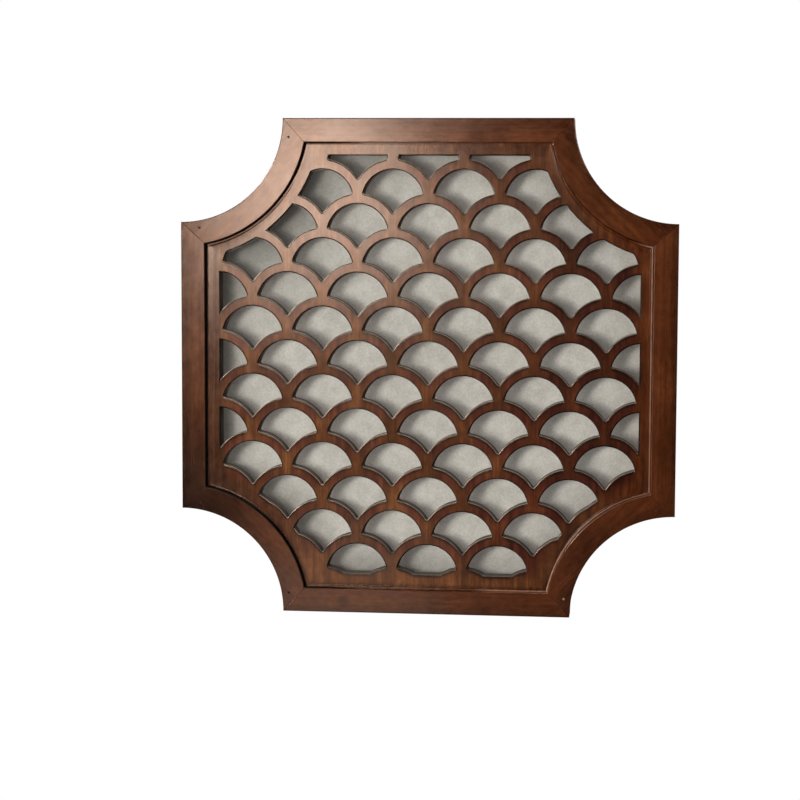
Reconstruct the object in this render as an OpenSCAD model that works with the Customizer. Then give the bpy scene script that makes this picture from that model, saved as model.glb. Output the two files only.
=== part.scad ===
// Wall-hung wooden lattice panel: a frame of four straight members and four
// scooped corner members, mitred and loose-tenoned, round a pierced board that
// floats in the frame's groove.
// Everything is drawn face up on the bench, with the frame's back on z = 0, and
// then stood up by hang(): X runs to the right, Z up, and the face looks along -Y.
// The origin is the middle of the top rail's back face. All sizes are millimetres.

/* [Frame] */
// Width over the frame's outer edges
panel_w = 600; // [560:5:720]
// Height over the frame's outer edges
panel_h = 600; // [560:5:720]
// Radius of the scooped corners
scoop_r = 125; // [110:1:135]
// Width of the frame's face
face_w = 29; // [28:0.5:34]
// Depth of the frame from wall side to face
frame_d = 36; // [35:0.5:44]

/* [Groove and tongue] */
// Depth of the groove that holds the board
groove_d = 10; // [9.6:0.1:11]
// Thickness of the board's tongue
tongue_t = 8; // [6:0.5:9]
// How far the tongue reaches past the frame's inner edge
tongue_l = 8; // [5:0.1:8.2]
// Clearance on each face of the tongue
tongue_fit = 0.2; // [0.1:0.05:0.3]

/* [Pierced board] */
// Thickness of the board at its raised lip
board_t = 24; // [22:0.5:26]
// How far the lip lies below the frame's face
lip_set = 0.5; // [0.3:0.1:1.5]
// Open line between the board and the stiles
side_gap = 2.4; // [1.8:0.1:3]
// Open line between the board and the rails
end_gap = 1.5; // [1:0.1:3]
// Open line between the board and the scooped corners
scoop_gap = 1.9; // [1.6:0.1:3]
// How far the floating board has settled to the right
board_shift_x = 1.3; // [-1.3:0.1:1.3]
// How far the floating board sits above the middle
board_shift_z = 0.5; // [-0.8:0.1:0.8]
// Width of the flat lip round the board
lip_w = 1.4; // [1:0.1:2]
// Width of the cove inside the lip
cove_w = 9.5; // [7:0.5:11]
// Depth of the cove, which is the drop to the fretwork
cove_d = 3; // [2:0.25:4]

/* [Fish-scale fretwork] */
// Sideways pitch of the scales
scale_pitch = 85.7; // [80:0.1:90]
// Pitch of the rows, each row half a scale across from the last
row_pitch = 41.3; // [39:0.1:44]
// Radius of each opening's round top
scale_r = 37; // [34:0.5:38]
// Width of the wooden band over each opening
band_w = 12.5; // [10:0.5:14]
// Radius of the cutter, left in the corners of each opening
cutter_r = 1.8; // [1.2:0.1:2.5]
// Solid border between the lip's edge and the openings
border_w = 14.5; // [13:0.5:18]
// Solid border along the bottom edge
bottom_border_w = 16.8; // [13:0.1:20]
// Height of the middle row's centres above the board's middle
pattern_rise = -5.3; // [-10:0.1:10]

/* [Mitre joints] */
// Length of each loose tenon
tenon_l = 26; // [20:1:26]
// Width of each loose tenon, through the frame's depth
tenon_w = 14; // [10:1:15]
// Thickness of each loose tenon
tenon_t = 8; // [6:0.5:8]
// Back face of the frame to the tenon's near edge
tenon_inset = 3; // [2.5:0.5:4]
// Clearance round the tenon in its mortise
tenon_fit = 0.1; // [0.05:0.05:0.2]
// Radius of a pin's shank
pin_r = 0.8; // [0.6:0.05:1]
// Radius of a pin's head
pin_head_r = 1.4; // [1.2:0.05:1.8]
// Height of a pin's head
pin_head_h = 1; // [0.8:0.1:1.4]
// How far the pin's head is punched below the face
pin_set = 0.6; // [0.4:0.1:1]
// Distance of the pins from the mitre
pin_offset = 10; // [7:0.5:10]
// Distance of the pins from the tenon's middle line
pin_side = 2; // [0:0.25:2]
// Clearance round a pin
pin_fit = 0.05; // [0.02:0.01:0.1]

/* [Hangers] */
// Height of the hanger pivots above the panel's middle
hanger_y = 110; // [60:5:120]
// Thickness of the hanger strap
strap_t = 0.8; // [0.6:0.1:1]
// Width of the hanger strap
strap_w = 13; // [12:0.5:14]
// Length of the strap below the pivot
strap_l = 42; // [40:1:50]
// Radius of the ring's wire
wire_r = 1.2; // [1:0.05:1.3]
// Running clearance of the wire in the strap's knuckle
pivot_fit = 0.05; // [0.03:0.01:0.08]
// Centre-line width of the D-shaped ring
ring_w = 18; // [17.5:0.5:20]
// Straight part of the ring's sides
ring_leg = 4; // [3:0.5:5]
// Distance of the first screw below the pivot
screw_first = 21; // [21:0.5:23]
// Distance between the two screws
screw_pitch = 13; // [12:0.5:14]
// Radius of the screws' shanks
screw_r = 1.5; // [1.2:0.1:1.6]
// Length of the screws below their heads
screw_l = 14; // [12:1:16]
// Radius of the screws' heads
screw_head_r = 3; // [2.6:0.1:3.2]
// Height of the screws' heads
screw_head_h = 1.7; // [1.4:0.1:2]
// Clearance of the screws in the strap
strap_hole_fit = 0.3; // [0.2:0.05:0.5]
// Clearance of the screws in the wood
screw_fit = 0.05; // [0.02:0.01:0.1]

/* [Bumper pads] */
// Radius of the felt pads
pad_r = 8; // [6:0.5:10]
// Thickness of the felt pads, which stand the panel off the wall
pad_t = 5; // [5:0.5:8]
// Distance of each pad from the near end of the bottom rail's outer edge
pad_end = 45; // [30:5:80]

/* [Hidden] */
$fn = 96;

wood = "#6b3d27";
board_wood = "#7a472b";
raw_wood = "#b58a5c";
iron = "#3a3532";
brass = "#b08d4f";
felt = "#4a4038";

left = -1;
right = 1;
top = 1;
bottom = -1;

half_w = panel_w / 2;
half_h = panel_h / 2;
// Slack past a face, so that a cutter never ends on it
past = 1;

// Corner frame: the scoop's centre is the origin and the panel fills the first quadrant.
// A mitre runs from the outer tip [scoop_r, 0] to the inner corner [inner_x, face_w].
inner_r = scoop_r + face_w;
inner_x = sqrt(inner_r * inner_r - face_w * face_w);
mitre_l = norm([inner_x - scoop_r, face_w]);
mitre_angle = atan2(face_w, inner_x - scoop_r);

// Depths above the frame's back
lip_z = frame_d - lip_set;
field_z = lip_z - cove_d;
board_z = lip_z - board_t;
tongue_z = (board_z + lip_z) / 2 - tongue_t / 2;
tenon_z = tenon_inset + tenon_w / 2;
pin_top = frame_d - pin_set;
pin_foot = tenon_z;

// The cove is an arc through the lip's edge that bottoms out a hair below the
// field, so that it meets the field in a clean line
cove_sink = 0.1;
cove_r = (pow(cove_w, 2) + pow(cove_d + cove_sink, 2)) / (2 * (cove_d + cove_sink));

// Fretwork
band_r = scale_r + band_w;
front_scale = [scale_pitch / 2, -row_pitch];
columns = ceil(panel_w / scale_pitch);
rows = ceil(panel_h / 2 / row_pitch);
// A scale whose centre lies this far outside the border still opens as a half
half_scale_reach = 5;

// Hangers
knuckle_r = wire_r + pivot_fit + strap_t;
stile_x = half_w - face_w / 2;
rail_y = half_h - face_w / 2;

// ---- Placing ----

// Stands the bench drawing up against the wall
module hang() {
    translate([0, 0, -rail_y]) rotate([90, 0, 0]) children();
}

// Moves a child from the corner frame to one of the four corners
module at_corner(sx, sy) {
    mirror([sx < 0 ? 1 : 0, 0, 0])
        mirror([0, sy < 0 ? 1 : 0, 0])
            translate([half_w, half_h, 0]) rotate(180) children();
}

// Moves a child from the rail's mitre to the stile's, in the corner frame
module swap_if(is_stile) {
    if (is_stile) mirror([1, -1, 0]) children();
    else children();
}

// X along the joint from the corner member into the rail, Y along the mitre inwards
module at_mitre() {
    translate([(scoop_r + inner_x) / 2, face_w / 2, 0]) rotate(mitre_angle - 90) children();
}

module every_mitre() {
    for (sx = [left, right], sy = [bottom, top], is_stile = [false, true])
        at_corner(sx, sy) swap_if(is_stile) at_mitre() children();
}

// ---- Outlines ----

// The panel's outline drawn in from the sides, the ends and the scoops
module scooped(side_in, end_in, corner_r) {
    difference() {
        square([panel_w - 2 * side_in, panel_h - 2 * end_in], center = true);
        for (sx = [left, right], sy = [bottom, top])
            translate([sx * half_w, sy * half_h]) circle(corner_r);
    }
}

module straight_outline(length, across) {
    polygon([
        [-(length / 2 - scoop_r), across / 2],
        [length / 2 - scoop_r, across / 2],
        [length / 2 - inner_x, across / 2 - face_w],
        [-(length / 2 - inner_x), across / 2 - face_w]
    ]);
}

module corner_outline() {
    intersection() {
        difference() {
            circle(inner_r);
            circle(scoop_r);
        }
        polygon([
            [0, 0], [scoop_r, 0], [inner_x, face_w],
            [inner_x, inner_x], [face_w, inner_x], [0, scoop_r]
        ]);
    }
}

module stadium(length, width) {
    square([length - width, width], center = true);
    for (s = [-1, 1])
        translate([s * (length - width) / 2, 0]) circle(d = width);
}

// ---- Cuts and pieces of the mitre joints ----

module loose_tenon(grow = 0) {
    at_mitre() translate([0, 0, tenon_z]) rotate([0, 90, 0])
        linear_extrude(tenon_l + 2 * grow, center = true)
            stadium(tenon_w + 2 * grow, tenon_t + 2 * grow);
}

module pin_place() {
    translate([-pin_offset, pin_side, 0]) children();
}

module pin_hole() {
    translate([0, 0, pin_foot - pin_fit])
        cylinder(h = frame_d + past - pin_foot, r = pin_r + pin_fit);
    translate([0, 0, pin_top - pin_head_h - pin_fit])
        cylinder(h = pin_set + pin_head_h + past, r = pin_head_r + pin_fit);
}

module pin() {
    translate([0, 0, pin_foot]) cylinder(h = pin_top - pin_foot, r = pin_r);
    translate([0, 0, pin_top - pin_head_h]) cylinder(h = pin_head_h, r = pin_head_r);
}

module tenon_at(sx, sy, is_stile) {
    hang() color(raw_wood) at_corner(sx, sy) swap_if(is_stile) difference() {
        loose_tenon();
        at_mitre() pin_place() pin_hole();
    }
}

// Everything that is cut from the frame's members
module groove() {
    translate([0, 0, tongue_z - tongue_fit])
        linear_extrude(tongue_t + 2 * tongue_fit)
            scooped(face_w - groove_d, face_w - groove_d, inner_r - groove_d);
}

module mortises() {
    for (sx = [left, right], sy = [bottom, top], is_stile = [false, true])
        at_corner(sx, sy) swap_if(is_stile) loose_tenon(tenon_fit);
}

// ---- Frame members ----

module straight_member(length, across) {
    difference() {
        linear_extrude(frame_d) straight_outline(length, across);
        groove();
        mortises();
    }
}

module rail(side) {
    hang() color(wood) mirror([0, side < 0 ? 1 : 0, 0]) straight_member(panel_w, panel_h);
}

module stile(side) {
    hang() color(wood) mirror([side < 0 ? 1 : 0, 0, 0]) difference() {
        rotate(-90) linear_extrude(frame_d) straight_outline(panel_h, panel_w);
        groove();
        mortises();
        translate([stile_x, hanger_y, 0]) at_screws()
            translate([0, 0, -past]) cylinder(h = screw_l - strap_t + past, r = screw_r + screw_fit);
    }
}

module corner_member(sx, sy) {
    hang() color(wood) difference() {
        at_corner(sx, sy) linear_extrude(frame_d) corner_outline();
        groove();
        mortises();
        every_mitre() pin_place() pin_hole();
    }
}

module top_rail() { rail(top); }
module bottom_rail() { rail(bottom); }
module left_stile() { stile(left); }
module right_stile() { stile(right); }
module corner_top_left() { corner_member(left, top); }
module corner_top_right() { corner_member(right, top); }
module corner_bottom_left() { corner_member(left, bottom); }
module corner_bottom_right() { corner_member(right, bottom); }

module mitre_pins() {
    hang() color(iron) every_mitre() pin_place() pin();
}

// ---- Pierced board ----

module board_outline(extra = 0) {
    scooped(face_w + side_gap + extra, face_w + end_gap + extra, inner_r + scoop_gap + extra);
}

// Lip and cove in section: across from the board's edge, up from the field
module lip_section() {
    difference() {
        translate([0, -past]) square([lip_w + cove_w, cove_d + past]);
        translate([lip_w + cove_w, cove_r - cove_sink]) circle(cove_r);
    }
}

module straight_lip(edge, length) {
    translate([edge, 0, field_z]) rotate([90, 0, 0])
        linear_extrude(length, center = true) mirror([1, 0]) lip_section();
}

module raised_lip() {
    intersection() {
        translate([0, 0, field_z - past]) linear_extrude(cove_d + past) board_outline();
        union() {
            for (sx = [left, right]) mirror([sx < 0 ? 1 : 0, 0, 0])
                straight_lip(half_w - face_w - side_gap, panel_h);
            for (sy = [bottom, top]) rotate(sy * 90)
                straight_lip(half_h - face_w - end_gap, panel_w);
            for (sx = [left, right], sy = [bottom, top]) at_corner(sx, sy)
                translate([0, 0, field_z]) rotate_extrude(angle = 90)
                    translate([inner_r + scoop_gap, 0]) lip_section();
        }
    }
}

// Centre of the circle of radius ra about the origin and rb about c
function meet(c, ra, rb) =
    let (d = norm(c), a = (ra * ra - rb * rb + d * d) / (2 * d), h = sqrt(ra * ra - a * a))
    a * c / d + h * [-c[1], c[0]] / d;

function towards(from, to, distance) = from + (to - from) * distance / norm(to - from);

// The cutter runs this far into the arcs it turns between, so that it crosses them cleanly
cutter_bite = 0.01;

// Cutter's centre, the sharp corner it stops short of, and where it touches each arc
side_cutter = meet(front_scale, scale_r - cutter_r + cutter_bite, band_r + cutter_r - cutter_bite);
side_corner = meet(front_scale, scale_r, band_r);
side_touch = [towards([0, 0], side_cutter, scale_r), towards(front_scale, side_cutter, band_r)];
tip_cutter = [0, front_scale[1] + sqrt(pow(band_r + cutter_r - cutter_bite, 2) - pow(front_scale[0], 2))];
tip_corner = [0, front_scale[1] + sqrt(pow(band_r, 2) - pow(front_scale[0], 2))];
tip_touch = towards(front_scale, tip_cutter, band_r);

// Covers a sharp corner as far as the line through a and b, and runs on past all three
module corner_fill(a, b, corner) {
    polygon([a + (a - b) / 2, b + (b - a) / 2, 2 * corner - (a + b) / 2]);
}

// One opening: a round top over the two scales in front of it, its corners left round
module scale_opening() {
    difference() {
        circle(scale_r);
        for (s = [-1, 1]) {
            translate([s * front_scale[0], front_scale[1]]) circle(band_r);
            mirror([s < 0 ? 1 : 0, 0]) corner_fill(side_touch[0], side_touch[1], side_corner);
        }
        corner_fill(tip_touch, [-tip_touch[0], tip_touch[1]], tip_corner);
    }
    for (s = [-1, 1])
        translate([s * side_cutter[0], side_cutter[1]]) circle(cutter_r);
    translate(tip_cutter) circle(cutter_r);
}

function in_field(p) =
    abs(p[0]) < half_w - face_w - side_gap - border_w + half_scale_reach
    && p[1] < half_h - face_w - end_gap - border_w + half_scale_reach
    && p[1] > -(half_h - face_w - end_gap - bottom_border_w + half_scale_reach)
    && norm([half_w - abs(p[0]), half_h - abs(p[1])])
        > inner_r + scoop_gap + border_w - half_scale_reach;

module fretwork() {
    intersection() {
        board_outline(border_w);
        translate([0, (bottom_border_w - border_w) / 2])
            square([panel_w, panel_h - 2 * (face_w + end_gap) - border_w - bottom_border_w],
                center = true);
        for (row = [-rows : rows], column = [-columns : columns]) {
            centre = [(column + (abs(row) % 2) / 2) * scale_pitch, row * row_pitch + pattern_rise];
            if (in_field(centre)) translate(centre) scale_opening();
        }
    }
}

module fret_board() {
    hang() color(board_wood) translate([board_shift_x, board_shift_z, 0]) difference() {
        union() {
            translate([0, 0, board_z]) linear_extrude(field_z - board_z) board_outline();
            translate([0, 0, tongue_z]) linear_extrude(tongue_t)
                scooped(face_w - tongue_l, face_w - tongue_l, inner_r - tongue_l);
            raised_lip();
        }
        translate([0, 0, board_z - past]) linear_extrude(board_t + 2 * past) fretwork();
    }
}

// ---- Hangers and pads ----

module at_screws() {
    for (n = [0, 1]) translate([0, -screw_first - n * screw_pitch, 0]) children();
}

module at_hanger(side) {
    translate([side * stile_x, hanger_y, 0]) children();
}

// Turns a child so that its Z runs along the hanger's pivot
module along_pivot() {
    translate([0, 0, -knuckle_r]) rotate([0, 90, 0]) children();
}

module hanger_plate(side) {
    hang() color(brass) at_hanger(side) difference() {
        union() {
            translate([0, 0, -strap_t]) linear_extrude(strap_t) {
                translate([-strap_w / 2, strap_w / 2 - strap_l])
                    square([strap_w, strap_l - strap_w / 2]);
                translate([0, strap_w / 2 - strap_l]) circle(d = strap_w);
            }
            along_pivot() cylinder(h = strap_w, r = knuckle_r, center = true);
        }
        along_pivot() cylinder(h = strap_w + 2 * past, r = wire_r + pivot_fit, center = true);
        at_screws() translate([0, 0, -strap_t - past])
            cylinder(h = strap_t + 2 * past, r = screw_r + strap_hole_fit);
    }
}

module hanger_ring(side) {
    hang() color(brass) at_hanger(side) translate([0, 0, -knuckle_r]) {
        rotate([0, 90, 0]) cylinder(h = ring_w, r = wire_r, center = true);
        for (s = [-1, 1]) translate([s * ring_w / 2, 0, 0]) {
            sphere(wire_r);
            rotate([-90, 0, 0]) cylinder(h = ring_leg, r = wire_r);
        }
        translate([0, ring_leg, 0]) rotate_extrude(angle = 180)
            translate([ring_w / 2, 0]) circle(wire_r);
    }
}

module hanger_screws() {
    hang() color(iron) for (side = [left, right]) at_hanger(side) at_screws()
        translate([0, 0, -strap_t]) {
            cylinder(h = screw_l, r = screw_r);
            translate([0, 0, -screw_head_h]) cylinder(h = screw_head_h, r = screw_head_r);
        }
}

module felt_pad(side) {
    hang() color(felt) translate([side * (half_w - scoop_r - pad_end), -rail_y, -pad_t])
        cylinder(h = pad_t, r = pad_r);
}

module hanger_plate_left() { hanger_plate(left); }
module hanger_plate_right() { hanger_plate(right); }
module hanger_ring_left() { hanger_ring(left); }
module hanger_ring_right() { hanger_ring(right); }
module felt_pad_left() { felt_pad(left); }
module felt_pad_right() { felt_pad(right); }

top_rail();
bottom_rail();
left_stile();
right_stile();
corner_top_left();
corner_top_right();
corner_bottom_left();
corner_bottom_right();
fret_board();
tenon_at(left, top, false);  // tenon_top_left_rail
tenon_at(left, top, true);  // tenon_top_left_stile
tenon_at(right, top, false);  // tenon_top_right_rail
tenon_at(right, top, true);  // tenon_top_right_stile
tenon_at(left, bottom, false);  // tenon_bottom_left_rail
tenon_at(left, bottom, true);  // tenon_bottom_left_stile
tenon_at(right, bottom, false);  // tenon_bottom_right_rail
tenon_at(right, bottom, true);  // tenon_bottom_right_stile
mitre_pins();
hanger_plate_left();
hanger_plate_right();
hanger_ring_left();
hanger_ring_right();
hanger_screws();
felt_pad_left();
felt_pad_right();
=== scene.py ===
import math

import bmesh
import bpy
from mathutils import Matrix, Vector


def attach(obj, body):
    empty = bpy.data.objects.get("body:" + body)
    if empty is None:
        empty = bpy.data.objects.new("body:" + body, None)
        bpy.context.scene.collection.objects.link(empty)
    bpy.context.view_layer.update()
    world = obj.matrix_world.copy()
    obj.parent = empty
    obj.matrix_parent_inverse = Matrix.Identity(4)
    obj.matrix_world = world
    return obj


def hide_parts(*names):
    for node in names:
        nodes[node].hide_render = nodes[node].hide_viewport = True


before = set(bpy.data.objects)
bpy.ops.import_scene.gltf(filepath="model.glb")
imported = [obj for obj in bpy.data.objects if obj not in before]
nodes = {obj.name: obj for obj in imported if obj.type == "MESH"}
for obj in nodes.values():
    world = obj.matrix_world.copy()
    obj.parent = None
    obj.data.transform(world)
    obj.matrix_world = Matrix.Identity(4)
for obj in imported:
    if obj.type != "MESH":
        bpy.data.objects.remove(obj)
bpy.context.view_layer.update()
mm = 0.001
print("frame loaded:", len(nodes), "nodes")

# The panel hangs flat on a wall and is seen from a little right of and above its middle.
# Its face looks along -Y, Z is up, and the origin is the middle of the top rail's back.
panel = {
    "faceY": -36 * mm,  # the frame's face
    "fieldY": -32.5 * mm,  # the board's pierced field
    "backY": -11.5 * mm,  # the board's back
    "wallY": 5 * mm,  # the wall, which the pads touch
    "middle": Vector((0, 0, -285.5 * mm)),
    "halfWidth": 300 * mm,
    "scoopRadius": 125 * mm,
    "faceWidth": 29 * mm,
}


# An sRGB colour as the linear one that shaders take
def hexColour(code):
    parts = [int(code[i:i + 2], 16) / 255 for i in (1, 3, 5)]
    return [p / 12.92 if p <= 0.04045 else ((p + 0.055) / 1.055) ** 2.4 for p in parts] + [1]


# Adds a shader node with its settings, and sets or links its inputs
def addNode(tree, kind, inputs=None, **settings):
    node = tree.nodes.new("ShaderNode" + kind)
    for name, value in settings.items():
        setattr(node, name, value)
    for name, value in (inputs or {}).items():
        if isinstance(value, bpy.types.NodeSocket):
            tree.links.new(value, node.inputs[name])
        else:
            node.inputs[name].default_value = value
    return node


def setRamp(node, stops):
    ramp = node.color_ramp
    while len(ramp.elements) < len(stops):
        ramp.elements.new(0.5)
    for element, (place, colour) in zip(ramp.elements, stops):
        element.position = place
        element.color = hexColour(colour)


def newMaterial(name):
    material = bpy.data.materials.new(name)
    material.use_nodes = True
    material.node_tree.nodes.clear()
    return material


def finishMaterial(material, surface):
    output = addNode(material.node_tree, "OutputMaterial", {"Surface": surface})
    output.is_active_output = True
    return material


def pickOnly(piece):
    bpy.ops.object.select_all(action="DESELECT")
    bpy.context.view_layer.objects.active = piece
    piece.select_set(True)


def editMode(kind):
    bpy.ops.object.mode_set(mode="EDIT")
    bpy.ops.mesh.select_mode(type=kind)
    bpy.ops.mesh.select_all(action="DESELECT")


def objectMode():
    bpy.ops.object.mode_set(mode="OBJECT")


# A piece that starts from the CAD solid's own shape
def copyOfNode(nodeName, pieceName):
    source = nodes[nodeName]
    piece = bpy.data.objects.new(pieceName, source.data.copy())
    bpy.context.scene.collection.objects.link(piece)
    pickOnly(piece)
    editMode("VERT")
    bpy.ops.mesh.select_all(action="SELECT")
    bpy.ops.mesh.remove_doubles(threshold=0.002 * mm)
    objectMode()
    bpy.ops.mesh.customdata_custom_splitnormals_clear()
    return piece


# In edit mode, selects just the faces that pass a test of their place or normal
def pickFaces(piece, wanted):
    mesh = bmesh.from_edit_mesh(piece.data)
    for face in mesh.faces:
        face.select_set(bool(wanted(face)))
    mesh.select_flush_mode()
    bmesh.update_edit_mesh(piece.data)


# Adds a primitive, with nothing else selected and with its place in its mesh
def startPiece(name, addPrimitive, **choices):
    bpy.ops.object.select_all(action="DESELECT")
    addPrimitive(**choices)
    piece = bpy.context.object
    piece.name = name
    bpy.ops.object.transform_apply(location=True, rotation=True, scale=True)
    return piece


def copyTo(piece, name, shift):
    copy = bpy.data.objects.new(name, piece.data.copy())
    bpy.context.scene.collection.objects.link(copy)
    copy.data.transform(Matrix.Translation(shift))
    return copy


# Copies a piece to several places and joins the copies to one piece with its name
def placeCopies(piece, places):
    name = piece.name
    copies = [copyTo(piece, name, place) for place in places]
    bpy.data.objects.remove(piece)
    bpy.ops.object.select_all(action="DESELECT")
    for copy in copies:
        copy.select_set(True)
    bpy.context.view_layer.objects.active = copies[0]
    if len(copies) > 1:
        bpy.ops.object.join()
    copies[0].name = name
    return copies[0]


# Merges the seams that modelling left, and turns the faces outwards
def closeUp(piece):
    pickOnly(piece)
    editMode("VERT")
    bpy.ops.mesh.select_all(action="SELECT")
    bpy.ops.mesh.remove_doubles(threshold=0.01 * mm)
    bpy.ops.mesh.normals_make_consistent(inside=False)
    objectMode()


# Where faces meet at less than this angle, they are parts of one curved face
sharpFrom = math.radians(30)


# Marks the edges that a bevel is to round, each with its own share of the bevel's width
def weighEdges(piece, shareOf):
    mesh = piece.data
    faceNormals = {}
    for face in mesh.polygons:
        for key in face.edge_keys:
            faceNormals.setdefault(key, []).append(face.normal.copy())
    weights = mesh.attributes.get("bevel_weight_edge")
    if weights is None:
        weights = mesh.attributes.new("bevel_weight_edge", "FLOAT", "EDGE")
    for edge in mesh.edges:
        normals = faceNormals.get(tuple(sorted(edge.vertices)), [])
        share = 0
        if len(normals) == 2:
            a, b = (mesh.vertices[i].co for i in edge.vertices)
            share = shareOf(a, b, normals[0], normals[1])
        weights.data[edge.index].value = share


def roundEdges(piece, width, segments, profile=0.5):
    bevel = piece.modifiers.new("rounded arrises", "BEVEL")
    bevel.limit_method = "WEIGHT"
    bevel.width = width
    bevel.segments = segments
    bevel.profile = profile
    bevel.use_clamp_overlap = False
    bevel.loop_slide = False
    bevel.miter_outer = "MITER_SHARP"
    bevel.face_strength_mode = "FSTR_ALL"
    pickOnly(piece)
    bpy.ops.object.modifier_apply(modifier=bevel.name)


# Smooth shading that keeps the flat faces flat beside their rounded arrises
def smooth(piece, angle=35):
    pickOnly(piece)
    bpy.ops.object.shade_smooth_by_angle(angle=math.radians(angle), keep_sharp_edges=False)
    flatten = piece.modifiers.new("flat faces", "WEIGHTED_NORMAL")
    flatten.mode = "FACE_AREA"
    flatten.weight = 50
    flatten.keep_sharp = True
    flatten.use_face_influence = True
    bpy.ops.object.modifier_apply(modifier=flatten.name)


def coat(piece, material):
    piece.data.materials.clear()
    piece.data.materials.append(material)


# Hands a finished piece to its body, its CAD node and its finish
def settle(piece, body, material, slotName, *replaced):
    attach(piece, body)
    if replaced:
        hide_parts(*replaced)
    coat(piece, material)


# Elm-like hardwood, planed, stained walnut brown, rubbed back and sprayed with satin lacquer.
# To the eye it is a deep warm brown with a soft broad glare: the grain shows faintly through
# the stain, fine dark pores speckle it, and the shine is a little mottled.
woodFinish = {
    # Each pattern's width across the grain in mm, its length over that, its detail and fineness
    "fibre": (1.6, 38, 2, 0.6),  # wider than the real fibres so that it shows at this distance
    "streak": (7, 38, 1, 0.5),  # bands of early and late wood
    "cloud": (55, 1, 3, 0.5),  # of the stain
    "spray": (3, 1, 1, 0.5),  # the slight unevenness of sprayed lacquer
    "sheen": (5, 1 / 0.45, 4, 0.7),  # where rubbing back left it duller or shinier
    "fibreStrength": 0.35,  # each pattern's share in how light the wood is
    "streakStrength": 0.45,
    "cloudStrength": 0.6,
    "poreSpacing": 5.0,  # mm between the dark specks
    "poreStretch": 2.0,
    "poreEdge": (0.05, 0.14),  # where a pore's dark ends, over the spacing
    "poreShade": 0.6,
    "poresLeftOut": 0.55,  # this share of them doesn't show
    "relief": 0.1,  # mm, the depth of fibres and spray in the lacquer
    "mottle": 0.28,  # how much the sheen's patches change the colour and the shine
    "roughness": 0.175,
    "sawnRoughness": 0.85,
    "glareTint": "#ffe4d2",
}


# Millimetres along the grain (x) and across it (y and z), from the piece's own place
def grainCoordinates(tree, turn, shift):
    place = addNode(tree, "TexCoord").outputs["Object"]
    return addNode(tree, "Mapping", {
        "Vector": place,
        "Scale": (1 / mm, 1 / mm, 1 / mm),
        "Rotation": (0, turn, 0),
        "Location": shift,
    }).outputs["Vector"]


# How far a point of the face lies inside the panel's outline, in mm, and its place from the middle
def outlineDistance(tree):
    place = addNode(tree, "TexCoord").outputs["Object"]
    fromMiddle = addNode(tree, "Mapping", {
        "Vector": place,
        "Scale": (1 / mm, 0, 1 / mm),
        "Location": -panel["middle"] / mm,
    }).outputs["Vector"]
    corner = (panel["halfWidth"] / mm, 0, panel["halfWidth"] / mm)
    folded = addNode(tree, "VectorMath", {0: fromMiddle}, operation="ABSOLUTE").outputs[0]
    toSides = addNode(tree, "VectorMath", {0: corner, 1: folded}, operation="SUBTRACT").outputs[0]
    sides = addNode(tree, "SeparateXYZ", {0: toSides}).outputs
    toCorner = addNode(tree, "VectorMath", {0: toSides}, operation="LENGTH").outputs["Value"]
    inScoop = addNode(tree, "Math", {
        0: toCorner,
        1: panel["scoopRadius"] / mm,
    }, operation="SUBTRACT").outputs[0]
    nearSide = addNode(tree, "Math", {0: sides["X"], 1: sides["Z"]}, operation="MINIMUM").outputs[0]
    distance = addNode(tree, "Math", {0: nearSide, 1: inScoop}, operation="MINIMUM").outputs[0]
    return distance, fromMiddle


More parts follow.
